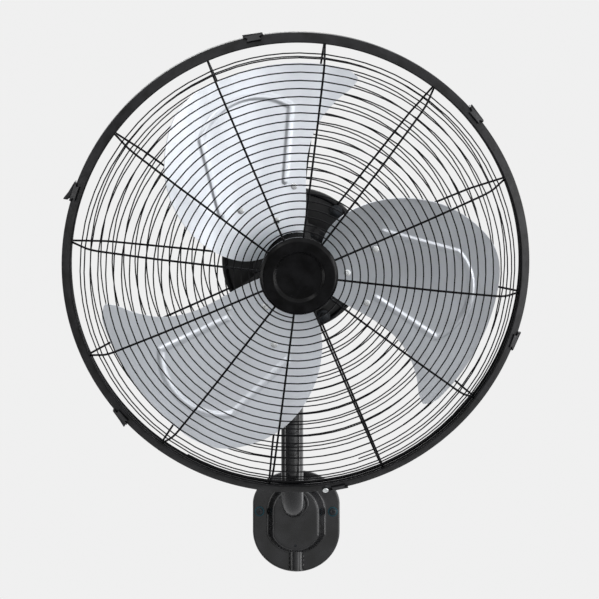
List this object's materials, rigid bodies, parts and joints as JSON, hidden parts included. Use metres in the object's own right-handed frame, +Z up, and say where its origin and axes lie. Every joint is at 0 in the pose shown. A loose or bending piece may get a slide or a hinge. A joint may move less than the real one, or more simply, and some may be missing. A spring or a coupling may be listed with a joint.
{
  "type": "wall mounted fan",
  "caption": "Fan in a round wire cage on a tilting and swivelling head, carried by a bent tube on an oval wall plate.",
  "frame": {"origin": "midway between the two wall screws, on the wall plane at the back of the plate", "axes": "+Z up, +Y into the wall, +X to the right of someone who faces the fan; the fan faces -Y"},
  "size_m": [0.5688, 0.3599, 0.6782],
  "materials": {
    "black_gloss": "glossy black powder coat",
    "rim_black": "black powder coat",
    "wire_black": "black coated wire",
    "hub_paint": "glossy black enamel",
    "motor_paint": "black enamel",
    "zinc": "bright zinc plate",
    "shaft_steel": "ground steel",
    "core_steel": "laminated steel",
    "blade_aluminium": "satin natural aluminium",
    "cap_plastic": "satin black moulding",
    "box_plastic": "fine matt black",
    "knob_plastic": "black moulding",
    "bush_plastic": "natural nylon",
    "gland_rubber": "black rubber"
  },
  "bodies": {
    "bracket": {"wall_plate": "black_gloss", "wall_screws": "zinc", "wall_washers": "zinc", "neck_tube": "black_gloss", "tube_flange": "black_gloss", "tube_bush": "bush_plastic", "clamp_collar": "black_gloss", "clamp_screw": "zinc"},
    "clamp_hand_knob": {"clamp_knob": "knob_plastic"},
    "swivel": {"tilt_yoke": "black_gloss", "tilt_bolt": "zinc"},
    "tilt_hand_knob": {"tilt_knob": "knob_plastic"},
    "head": {"motor_foot": "black_gloss", "motor_front_bell": "motor_paint", "motor_rear_bell": "motor_paint", "stator": "core_steel", "switch_box": "box_plastic", "switch_lid": "box_plastic", "rotary_switch": "box_plastic", "cord_gland": "gland_rubber", "guard_disc": "black_gloss", "guard_bolts": "zinc", "rear_ribs": "wire_black", "rear_spiral": "wire_black", "rear_rings": "wire_black", "front_ribs": "wire_black", "front_spiral": "wire_black", "front_rings": "wire_black", "rim_band": "rim_black", "front_cap": "cap_plastic", "cap_backing": "zinc"},
    "speed_dial": {"speed_knob": "knob_plastic"},
    "rotor": {"rotor_core": "core_steel", "motor_shaft": "shaft_steel", "hub_spider": "hub_paint", "blade_1": "blade_aluminium", "blade_2": "blade_aluminium", "blade_3": "blade_aluminium"},
    "clip_latch_1": {"clip_1": "rim_black"},
    "clip_latch_2": {"clip_2": "rim_black"},
    "clip_latch_3": {"clip_3": "rim_black"},
    "clip_latch_4": {"clip_4": "rim_black"},
    "clip_latch_5": {"clip_5": "rim_black"},
    "clip_latch_6": {"clip_6": "rim_black"}
  },
  "joints": [
    {"name": "head_pan", "type": "hinge", "parent": "bracket", "child": "swivel", "pos_m": [0, -0.11, 0.214], "axis": [0, 0, 1], "range_deg": [-35.6, 24.4]},
    {"name": "head_tilt", "type": "hinge", "parent": "swivel", "child": "head", "pos_m": [0, -0.11, 0.2506], "axis": [0.9952, 0.0976, 0], "range_deg": [-26.7, 5.3]},
    {"name": "rotor_spin", "type": "hinge", "parent": "head", "child": "rotor", "pos_m": [0.01082, -0.22034, 0.31751], "axis": [-0.0956, 0.9745, 0.2028], "continuous": true},
    {"name": "clamp_knob_turn", "type": "hinge", "parent": "bracket", "child": "clamp_hand_knob", "pos_m": [0.014, -0.07995, 0.197], "axis": [1, 0, 0], "range_deg": [0, 180]},
    {"name": "tilt_knob_turn", "type": "hinge", "parent": "swivel", "child": "tilt_hand_knob", "pos_m": [0.02886, -0.10717, 0.2506], "axis": [0.9952, 0.0976, 0], "range_deg": [0, 180]},
    {"name": "speed_dial_turn", "type": "hinge", "parent": "head", "child": "speed_dial", "pos_m": [-0.02031, -0.05656, 0.29266], "axis": [-0.0198, 0.2018, -0.9792], "range_deg": [0, 135]},
    {"name": "clip_1_open", "type": "hinge", "parent": "head", "child": "clip_latch_1", "pos_m": [0.22556, -0.2219, 0.5031], "axis": [-0.6393, -0.2162, 0.7379], "range_deg": [0, 90]},
    {"name": "clip_2_open", "type": "hinge", "parent": "head", "child": "clip_latch_2", "pos_m": [-0.03947, -0.26659, 0.59299], "axis": [-0.9804, -0.0569, -0.1885], "range_deg": [0, 90]},
    {"name": "clip_3_open", "type": "hinge", "parent": "head", "child": "clip_latch_3", "pos_m": [-0.2557, -0.24983, 0.41056], "axis": [-0.3411, 0.1593, -0.9264], "range_deg": [0, 90]},
    {"name": "clip_4_open", "type": "hinge", "parent": "head", "child": "clip_latch_4", "pos_m": [-0.2069, -0.18838, 0.13824], "axis": [0.6393, 0.2162, -0.7379], "range_deg": [0, 90]},
    {"name": "clip_5_open", "type": "hinge", "parent": "head", "child": "clip_latch_5", "pos_m": [0.05813, -0.14369, 0.04835], "axis": [0.9804, 0.0569, 0.1885], "range_deg": [0, 90]},
    {"name": "clip_6_open", "type": "hinge", "parent": "head", "child": "clip_latch_6", "pos_m": [0.27435, -0.16045, 0.23078], "axis": [0.3411, -0.1593, 0.9264], "range_deg": [0, 90]}
  ]
}
